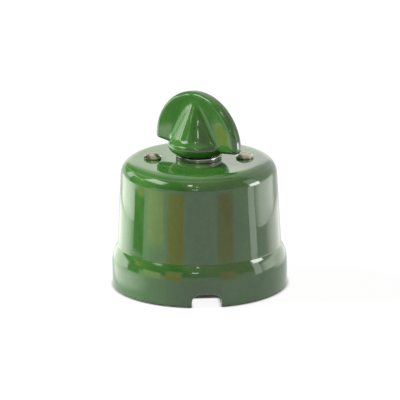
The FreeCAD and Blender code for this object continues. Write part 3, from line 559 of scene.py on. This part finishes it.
def shoulder(cover):
    """Outline from the top of the band over the rounded shoulder, through the hollow, to the barrel."""
    radius_low = cover.rim_radius - cover.band_step
    level = cover.band_height + cover.shoulder_rise
    bulge = (cover.band_step**2 + cover.shoulder_rise**2) / (2 * cover.band_step)
    centre = Vector((cover.rim_radius - bulge, cover.band_height))
    foot = Vector((radius_low, level))
    along = (Vector((radius_low - cover.barrel_taper, cover.top)) - foot).normalized()
    outward = Vector((along.y, -along.x))
    start = foot + outward * cover.shoulder_blend - centre
    drop = start.dot(along)
    climb = math.sqrt(drop**2 - start.length_squared + (bulge + cover.shoulder_blend)**2) - drop
    hollow = foot + outward * cover.shoulder_blend + along * climb
    meeting = centre.lerp(hollow, bulge / (bulge + cover.shoulder_blend))
    band_top = Vector((cover.rim_radius, cover.band_height))
    over = arc(centre, band_top, meeting, steps=16)
    return over + arc(hollow, meeting, foot + along * climb, steps=6)[1:]


def cover_outline(cover):
    """The turned section of the cover, anticlockwise from the inside of its foot."""
    barrel = cover.rim_radius - cover.band_step
    chamber = barrel - cover.wall
    ceiling = cover.top - cover.roof
    socket = half_width("base") + cover.base_gap
    inner = cover.inner_round
    rim = rounded([(socket, 0.0, inner), (cover.rim_radius, 0.0, cover.rim_round),
                   (cover.rim_radius, cover.band_height, 0.0), (socket, cover.band_height, 0.0)])
    foot = rim[:-2]
    inside = rounded([
        (barrel, cover.band_height + cover.shoulder_rise, 0.0),
        (barrel - cover.barrel_taper, cover.top, cover.top_round),
        (cover.hole_radius, cover.top, inner),
        (cover.hole_radius, ceiling, inner),
        (chamber - cover.barrel_taper, ceiling, cover.ceiling_round),
        (chamber, cover.ledge_level, inner),
        (socket, cover.ledge_level, inner),
        (socket, 0.0, 0.0),
    ])[1:-1]
    return foot + shoulder(cover) + inside


def notch_cutter(cover):
    """Arched bar for the cable notch, flared where it leaves the skirt."""
    lip = cover.notch_lip
    flare_start = cover.rim_radius - lip
    flare_steps = 8
    stations = [(half_width("base") - lip, 0.0), (flare_start, 0.0)]
    for step in range(1, flare_steps + 1):
        turn = math.pi / 2 * step / flare_steps
        stations.append((flare_start + lip * math.sin(turn), lip * (1.0 - math.cos(turn))))
    stations.append((cover.rim_radius + 2 * lip, lip))
    facing = Matrix.Rotation(cover.notch_turn, 3, "Z")
    below = -2.0 * lip
    sections = []
    for reach, swell in stations:
        half = cover.notch_width / 2 + swell
        height = cover.notch_height + swell
        bend = cover.notch_corner + swell
        outline = [Vector((-half, below)), Vector((half, below))]
        outline += arc(Vector((half - bend, height - bend)), Vector((half, height - bend)),
                       Vector((half - bend, height)), steps=12)
        outline += arc(Vector((bend - half, height - bend)), Vector((bend - half, height)),
                       Vector((-half, height - bend)), steps=12)
        sections.append([facing @ Vector((point.x, -reach, point.y)) for point in outline])
    return loft("notch_cutter", sections)


def hole_cutter(cover, side):
    """Drill for a cover screw, with a chamfer at the mouth."""
    lip = cover.inner_round
    low, high = cover.top - cover.roof - 2 * lip, cover.top + 2 * lip
    outline = rounded([
        (0.0, low, 0.0),
        (cover.screw_hole, low, 0.0),
        (cover.screw_hole, cover.top - lip, 0.0),
        (cover.screw_hole + lip, cover.top, 0.0),
        (cover.screw_hole + lip, high, 0.0),
        (0.0, high, 0.0),
    ], closed=False)
    mesh = spin("hole_cutter", outline, cover.hole_segments, closed=False)
    mesh.transform(Matrix.Translation((side * cover.screw_offset, 0.0, 0.0)))
    return mesh


def fired(node, name, grain, passes, softening):
    """A copy of a node's solid as one skin of even grain, with its edges softened as firing does."""
    piece = add_object(name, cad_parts[node].data.copy())
    skin = piece.modifiers.new("skin", "REMESH")
    skin.mode = "VOXEL"
    skin.voxel_size = grain
    skin.use_smooth_shade = True
    melt = piece.modifiers.new("melt", "SMOOTH")
    melt.factor = softening
    melt.iterations = passes
    settle(piece)
    return piece


def mark_hollows(piece, name, full_dip, blurs):
    """A vertex group that is full where the surface is hollow, with soft borders."""
    shape = bmesh.new()
    shape.from_mesh(piece.data)
    around = [[edge.other_vert(vertex).index for edge in vertex.link_edges] for vertex in shape.verts]
    dips = []
    for vertex in shape.verts:
        nears = [edge.other_vert(vertex).co for edge in vertex.link_edges]
        middle = sum(nears, Vector()) / len(nears)
        dips.append((middle - vertex.co).dot(vertex.normal))
    shape.free()
    weights = [min(1.0, max(0.0, dip / full_dip)) for dip in dips]
    for _ in range(blurs):
        weights = [(weights[index] + sum(weights[near] for near in nears)) / (1 + len(nears))
                   for index, nears in enumerate(around)]
    group = piece.vertex_groups.new(name=name)
    for index, weight in enumerate(weights):
        group.add([index], min(1.0, 2.0 * weight), "REPLACE")


class SWITCH_OT_make_cover(Operator):
    """Turn the glazed cover, with its cable notch and screw holes"""

    bl_idname = "switch.make_cover"
    bl_label = "Cover"

    def execute(self, context):
        cover = context.scene.switch_cover
        mesh = spin("glazed_cover", spaced(cover_outline(cover), cover.ring_step), cover.segments)
        ripple(mesh, cover.ripple, cover.ripple_pitch)
        piece = add_object("glazed_cover", mesh)
        cut(piece, notch_cutter(cover), hole_cutter(cover, 1), hole_cutter(cover, -1))
        smooth(piece.data)
        finish(piece, "housing", "cover", cover_material(context.scene.switch_glaze, cover))
        return {"FINISHED"}


class SWITCH_OT_make_knob(Operator):
    """Melt the knob's solid into one glazed skin"""

    bl_idname = "switch.make_knob"
    bl_label = "Knob"

    def execute(self, context):
        knob = context.scene.switch_knob
        piece = fired("knob", "glazed_knob", knob.grain, knob.melting, knob.softening)
        mark_hollows(piece, "hollows", knob.hollow_dip, knob.hollow_blur)
        pool = piece.modifiers.new("pool", "SMOOTH")
        pool.factor = knob.softening
        pool.iterations = knob.pooling
        pool.vertex_group = "hollows"
        settle(piece)
        piece.vertex_groups.clear()
        ripple(piece.data, knob.ripple, knob.ripple_pitch)
        piece.data.shade_smooth()
        finish(piece, "turn_knob", "knob", glaze_material(context.scene.switch_glaze))
        return {"FINISHED"}


# Screws and bush

def cut_thread(mesh, screw, low, high):
    """Press a helical groove into the shank between two levels."""
    for vertex in mesh.vertices:
        x, y, z = vertex.co
        radius = math.hypot(x, y)
        if not low < z < high or radius < 0.5 * screw.shank_radius:
            continue
        turn = math.atan2(y, x) / math.tau
        fade = min(1.0, (high - z) / screw.pitch, (z - low) / screw.pitch)
        groove = screw.thread_depth * fade * (0.5 - 0.5 * math.cos(math.tau * (z / screw.pitch - turn)))
        vertex.co.xy *= (radius - groove) / radius


def slot_cutter(screw):
    """Bar for the screwdriver slot."""
    half, reach = screw.slot_width / 2, 1.3 * screw.head_radius
    floor = screw.head_height - screw.slot_depth
    outline = [(-half, floor), (half, floor), (half, 2 * screw.head_height), (-half, 2 * screw.head_height)]
    return loft("slot_cutter", [[Vector((end, y, z)) for y, z in outline] for end in (-reach, reach)])


def screw_mesh(screw, shank_length):
    """One domed and threaded screw, seated at z = 0, still without its slot."""
    dome_rise = screw.head_height - screw.head_edge
    dome = (screw.head_radius**2 + dome_rise**2) / (2 * dome_rise)
    lowest = -shank_length
    start = rounded([
        (0.0, lowest, 0.0),
        (screw.shank_radius - screw.shank_tip, lowest, 0.0),
        (screw.shank_radius, lowest + screw.shank_tip, 0.0),
        (screw.shank_radius, 0.0, 0.0),
        (screw.head_radius, 0.0, screw.head_round),
        (screw.head_radius, screw.head_edge, 0.0),
    ], closed=False)
    top = Vector((0.0, screw.head_height))
    over = arc(Vector((0.0, screw.head_height - dome)), start[-1], top, steps=24)
    outline = spaced(start + over[1:-1] + [top], screw.pitch / screw.thread_rows, closed=False)
    mesh = spin("screw", outline, screw.segments, closed=False)
    cut_thread(mesh, screw, lowest, -screw.pitch)
    return mesh


class SWITCH_OT_make_screws(Operator):
    """Turn the two cover screws, with threads and slots"""

    bl_idname = "switch.make_screws"
    bl_label = "Cover screws"

    def execute(self, context):
        scene = context.scene
        screw, metal = scene.switch_screw, scene.switch_metal
        seat = scene.switch_cover.top
        piece = add_object("domed_cover_screws", screw_mesh(screw, seat - foot_of("cover_screws")))
        cut(piece, slot_cutter(screw))
        edge = piece.modifiers.new("edge", "BEVEL")
        edge.width = screw.slot_edge
        edge.segments = 2
        edge.limit_method = "ANGLE"
        edge.angle_limit = screw.worn_angle
        settle(piece)
        pair = bmesh.new()
        for side in (-1, 1):
            one = piece.data.copy()
            one.transform(Matrix.Translation((side * scene.switch_cover.screw_offset, 0.0, seat)))
            pair.from_mesh(one)
            bpy.data.meshes.remove(one)
        pair.to_mesh(piece.data)
        pair.free()
        smooth(piece.data, screw.crisp_angle)
        nickel = metal_material("screw_nickel", metal.nickel, metal.nickel_wear, roughness=0.2, worn=0.35)
        finish(piece, "housing", "cover_screws", nickel)
        return {"FINISHED"}


class SWITCH_OT_make_bush(Operator):
    """Turn the plated bush whose collar shows under the knob"""

    bl_idname = "switch.make_bush"
    bl_label = "Spindle bush"

    def execute(self, context):
        scene = context.scene
        screw, metal = scene.switch_screw, scene.switch_metal
        low, high = foot_of("spindle_bush"), top_of("spindle_bush")
        collar = half_width("spindle_bush")
        edge = screw.head_round
        outline = rounded([
            (screw.bush_bore, low, edge),
            (screw.bush_radius, low, edge),
            (screw.bush_radius, scene.switch_cover.top, 0.0),
            (collar, scene.switch_cover.top, edge),
            (collar, high, screw.collar_round),
            (screw.bush_bore, high, edge),
        ])
        mesh = spin("plated_bush", spaced(outline, screw.bush_step), 2 * screw.segments)
        piece = add_object("plated_bush", mesh)
        smooth(piece.data)
        plate = metal_material("plated_metal", metal.plate, metal.plate_wear, roughness=0.2, worn=0.2)
        finish(piece, "housing", "spindle_bush", plate)
        return {"FINISHED"}


# Base and works

class SWITCH_OT_make_base(Operator):
    """Fire the white porcelain base, with soft pressed edges"""

    bl_idname = "switch.make_base"
    bl_label = "Base"

    def execute(self, context):
        knob = context.scene.switch_knob
        piece = fired("base", "porcelain_base", knob.base_grain, knob.base_melting, knob.softening)
        piece.data.shade_smooth()
        finish(piece, "housing", "base", porcelain_material(context.scene.switch_glaze))
        return {"FINISHED"}


class SWITCH_OT_finish_works(Operator):
    """Give the works inside their finishes"""

    bl_idname = "switch.finish_works"
    bl_label = "Works"

    def execute(self, context):
        metal = context.scene.switch_metal
        finishes = {
            "brass": metal_material("brass", metal.brass, metal.brass_wear, roughness=0.24, worn=0.3),
            "screw_steel": metal_material("screw_steel", metal.steel, metal.steel_wear,
                                          roughness=0.28, worn=0.3),
            "spring_steel": metal_material("spring_steel", metal.spring, metal.spring_wear,
                                           roughness=0.3, worn=0.4),
            "insulating_moulding": moulding_material(metal),
        }
        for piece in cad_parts.values():
            for place in piece.material_slots:
                if place.material.name in finishes:
                    place.material = finishes[place.material.name]
        return {"FINISHED"}


# Stage

def look_at(thing, place, target, roll=0.0):
    """Put a camera or lamp at a place, facing a target."""
    facing = (Vector(target) - Vector(place)).to_track_quat("-Z", "Y").to_matrix().to_4x4()
    thing.matrix_world = Matrix.Translation(place) @ facing @ Matrix.Rotation(roll, 4, "Z")


def bearing(turn, reach, height):
    """A point at a turn from -Y towards +X, a reach from the spindle and a height."""
    return Vector((reach * math.sin(turn), -reach * math.cos(turn), height))


def add_lamp(name, stage, turn, side, watts):
    """A soft square lamp that gloss doesn't show."""
    lamp = bpy.data.lights.new(name, "AREA")
    lamp.shape = "SQUARE"
    lamp.size = side
    lamp.energy = watts
    thing = add_object(name, lamp)
    look_at(thing, bearing(turn, stage.lamp_reach, stage.lamp_height), UP * stage.lamp_aim)
    thing.visible_glossy = False


class Card(NamedTuple):
    """An upright studio card: where it stands about the spindle, its size and its glow."""

    name: str
    azimuth: float
    reach: float
    width: float
    bottom: float
    top: float
    tint: tuple
    glow: float
    fade: float = 0.12


GREY = (0.1, 0.1, 0.1)
PALE = (1.0, 1.0, 0.95)
COOL = (0.97, 1.0, 0.97)

# Azimuths in degrees from -Y towards +X, lengths in metres
CARDS = (
    Card("dark_card_low", -80.8, 0.081, 0.030, 0.003, 0.030, GREY, 1.0),
    Card("dark_card_high", -85.0, 0.084, 0.075, 0.0365, 0.080, GREY, 1.0),
    Card("orange_card_left", -77.0, 0.080, 0.016, 0.027, 0.040, (1.0, 0.50, 0.20), 1.2),
    Card("pale_card_near_left", -112.0, 0.058, 0.060, 0.0, 0.025, PALE, 2.6, fade=0.22),
    Card("pale_card_foot_left", -76.0, 0.0365, 0.048, 0.0, 0.011, PALE, 2.3, fade=0.25),
    Card("pale_card_near_right", 112.0, 0.058, 0.060, 0.0, 0.025, PALE, 2.1, fade=0.22),
    Card("pale_card_left", -118.0, 0.140, 0.130, -0.012, 0.044, PALE, 3.4, fade=0.22),
    Card("pale_card_left_high", -112.0, 0.140, 0.100, 0.058, 0.120, PALE, 2.4, fade=0.2),
    Card("pale_card_front_left", -58.0, 0.120, 0.060, 0.0, 0.036, (1.0, 0.92, 0.58), 1.7),
    Card("warm_card_left", -28.5, 0.087, 0.037, 0.0, 0.042, (1.0, 0.62, 0.28), 1.35, fade=0.18),
    Card("warm_card_right", 31.3, 0.087, 0.038, 0.0, 0.042, (1.0, 0.60, 0.48), 1.1, fade=0.2),
    Card("strip_low", 69.0, 0.086, 0.018, 0.0, 0.045, COOL, 2.6),
    Card("strip_high", 76.0, 0.086, 0.032, 0.038, 0.061, COOL, 10.0, fade=0.18),
    Card("strip_top", 74.0, 0.086, 0.034, 0.054, 0.100, COOL, 1.8, fade=0.2),
    Card("pale_card_right", 105.0, 0.140, 0.142, -0.014, 0.058, PALE, 2.9, fade=0.22),
    Card("pale_card_back", 180.0, 0.100, 0.120, 0.040, 0.100, PALE, 1.6),
    Card("pale_card_back_left", -163.0, 0.098, 0.055, 0.040, 0.100, PALE, 1.35, fade=0.2),
    Card("window_left", -80.0, 0.60, 0.54, 0.38, 0.87, COOL, 5.0, fade=0.2),
    Card("window_left_low", -100.0, 0.60, 0.08, 0.24, 0.37, COOL, 6.0),
    Card("lamp_front", -6.0, 0.60, 0.10, 0.24, 0.275, COOL, 8.0),
    Card("lamp_middle", -3.0, 0.50, 0.055, 0.420, 0.470, COOL, 8.0, fade=0.2),
    Card("lamp_high", -16.0, 0.45, 0.07, 0.46, 0.66, COOL, 9.0),
)


def card_material(card):
    """Glow that fades out towards the card's edges."""
    material = bpy.data.materials.new(card.name)
    material.use_nodes = True
    tree = material.node_tree
    tree.nodes.clear()
    spread = add_node(tree, "ShaderNodeTexCoord").outputs["UV"]
    across = add_node(tree, "ShaderNodeSeparateXYZ", {"Vector": spread})
    solid = 1.0
    for axis in "XY":
        spot = across.outputs[axis]
        inset = combine(tree, "MULTIPLY", spot, combine(tree, "SUBTRACT", 1.0, spot))
        solid = combine(tree, "MULTIPLY", solid, between(tree, inset, 0.0, card.fade))
    clear = add_node(tree, "ShaderNodeBsdfTransparent").outputs["BSDF"]
    shine = add_node(tree, "ShaderNodeEmission", {"Color": rgba(card.tint), "Strength": card.glow})
    both = add_node(tree, "ShaderNodeMixShader", {0: solid, 1: clear, 2: shine.outputs["Emission"]})
    add_node(tree, "ShaderNodeOutputMaterial", {"Surface": both.outputs["Shader"]})
    return material


def add_card(card):
    """A card that only gloss shows: it faces the spindle and neither lights nor shades."""
    middle = bearing(math.radians(card.azimuth), card.reach, (card.bottom + card.top) / 2)
    sideways = middle.cross(UP).normalized() * card.width / 2
    upward = UP * (card.top - card.bottom) / 2
    turns = ((-1, -1), (1, -1), (1, 1), (-1, 1))
    mesh = bpy.data.meshes.new(card.name)
    mesh.from_pydata([middle + sideways * right + upward * up for right, up in turns], [], [range(4)])
    spread = mesh.uv_layers.new(name="spread")
    for place, (right, up) in zip(spread.data, turns):
        place.uv = ((right + 1) / 2, (up + 1) / 2)
    mesh.materials.append(card_material(card))
    thing = add_object(card.name, mesh)
    thing.visible_camera = False
    thing.visible_diffuse = False
    thing.visible_shadow = False


def seen_rays(tree):
    """1 for rays that show a surface: from the camera, off gloss or through glass."""
    path = add_node(tree, "ShaderNodeLightPath")
    shown = combine(tree, "MAXIMUM", path.outputs["Is Glossy Ray"], path.outputs["Is Transmission Ray"])
    return combine(tree, "MAXIMUM", shown, path.outputs["Is Camera Ray"])


def set_floor(stage):
    """Pale floor that keeps the object's shadow, with a darker line where the object stands on it."""
    bpy.ops.mesh.primitive_plane_add(size=stage.floor_size)
    floor = bpy.context.object
    floor.name = "floor"
    floor.location.z = foot_of("base") - stage.floor_gap
    material, tree, shader = new_material("floor")
    shader.inputs["Base Color"].default_value = rgba(stage.floor_colour)
    shader.inputs["Roughness"].default_value = 0.9
    shader.inputs["Specular IOR Level"].default_value = 0.0
    shader.inputs["Emission Color"].default_value = rgba(WHITE)
    contact = add_node(tree, "ShaderNodeAmbientOcclusion", {"Distance": stage.contact_reach}, samples=16)
    lit = between(tree, contact.outputs["AO"], 0.0, 1.0, 0.0, stage.floor_glow)
    glow = combine(tree, "MULTIPLY", seen_rays(tree), lit)
    tree.links.new(glow, shader.inputs["Emission Strength"])
    floor.data.materials.append(material)


# Where the surround changes, as components of a direction: left, up, and towards the camera
LEFT_FROM, LEFT_TO = -0.15, -0.45
HIGH_FROM, HIGH_TO = 0.05, 0.20
FRONT_FROM, FRONT_TO = 0.05, -0.25
FRONT_LEAN = 0.45


def set_world(scene, stage):
    """White surround. Gloss and soft light also find it dim high on the left and duller in front."""
    world = bpy.data.worlds.new("studio")
    scene.world = world
    world.use_nodes = True
    tree = world.node_tree
    background = tree.nodes["Background"]
    direction = add_node(tree, "ShaderNodeTexCoord").outputs["Generated"]
    split = add_node(tree, "ShaderNodeSeparateXYZ", {"Vector": direction})
    right, away, up = (split.outputs[axis] for axis in "XYZ")
    leftward = between(tree, right, LEFT_FROM, LEFT_TO)
    above = between(tree, up, HIGH_FROM, HIGH_TO)
    path = add_node(tree, "ShaderNodeLightPath")
    unseen = combine(tree, "SUBTRACT", 1.0, path.outputs["Is Camera Ray"])
    dim = combine(tree, "MULTIPLY", combine(tree, "MULTIPLY", leftward, above), unseen)
    lean = combine(tree, "SUBTRACT", away, combine(tree, "MULTIPLY", up, FRONT_LEAN))
    front = combine(tree, "MULTIPLY", between(tree, lean, FRONT_FROM, FRONT_TO), above)
    room = mixed(tree, combine(tree, "MULTIPLY", front, unseen), rgba(WHITE), rgba(stage.sky_front))
    tree.links.new(mixed(tree, dim, room, rgba(stage.sky_shade)), background.inputs["Color"])
    level = between(tree, seen_rays(tree), 0.0, 1.0, stage.sky_fill, 1.0)
    tree.links.new(level, background.inputs["Strength"])


class SWITCH_OT_set_stage(Operator):
    """Set the floor, the cards, the lamps and the camera"""

    bl_idname = "switch.set_stage"
    bl_label = "Stage"

    def execute(self, context):
        scene = context.scene
        stage = scene.switch_stage
        camera = add_object("camera", bpy.data.cameras.new("camera"))
        camera.data.lens = stage.lens
        camera.data.sensor_width = stage.sensor
        aim = Vector(stage.aim)
        direction = Vector((0.0, -math.cos(stage.elevation), math.sin(stage.elevation)))
        look_at(camera, aim + direction * stage.distance, aim, stage.roll)
        scene.camera = camera
        set_floor(stage)
        set_world(scene, stage)
        for card in CARDS:
            add_card(card)
        add_lamp("key", stage, stage.key_turn, stage.key_side, stage.key_power)
        add_lamp("fill", stage, stage.fill_turn, stage.fill_side, stage.fill_power)
        scene.view_settings.view_transform = "Standard"
        return {"FINISHED"}


class SWITCH_PT_panel(Panel):
    """Lists the steps that finish the switch"""

    bl_idname = "SWITCH_PT_panel"
    bl_label = "Rotary switch"
    bl_space_type = "VIEW_3D"
    bl_region_type = "UI"
    bl_category = "Switch"

    def draw(self, context):
        for step in STEPS:
            self.layout.operator(step.bl_idname)


STEPS = (
    SWITCH_OT_make_cover,
    SWITCH_OT_make_knob,
    SWITCH_OT_make_screws,
    SWITCH_OT_make_bush,
    SWITCH_OT_make_base,
    SWITCH_OT_finish_works,
    SWITCH_OT_set_stage,
)
SETTINGS = {
    "switch_cover": CoverSettings,
    "switch_knob": KnobSettings,
    "switch_screw": ScrewSettings,
    "switch_glaze": GlazeSettings,
    "switch_metal": MetalSettings,
    "switch_stage": StageSettings,
}
CLASSES = (*SETTINGS.values(), *STEPS, SWITCH_PT_panel)


def register():
    for cls in CLASSES:
        bpy.utils.register_class(cls)
    for name, group in SETTINGS.items():
        setattr(bpy.types.Scene, name, PointerProperty(type=group))


def unregister():
    for name in SETTINGS:
        delattr(bpy.types.Scene, name)
    for cls in reversed(CLASSES):
        bpy.utils.unregister_class(cls)


def main():
    register()
    bpy.ops.switch.make_cover()
    bpy.ops.switch.make_knob()
    bpy.ops.switch.make_screws()
    bpy.ops.switch.make_bush()
    bpy.ops.switch.make_base()
    bpy.ops.switch.finish_works()
    bpy.ops.switch.set_stage()


if __name__ == "__main__":
    main()
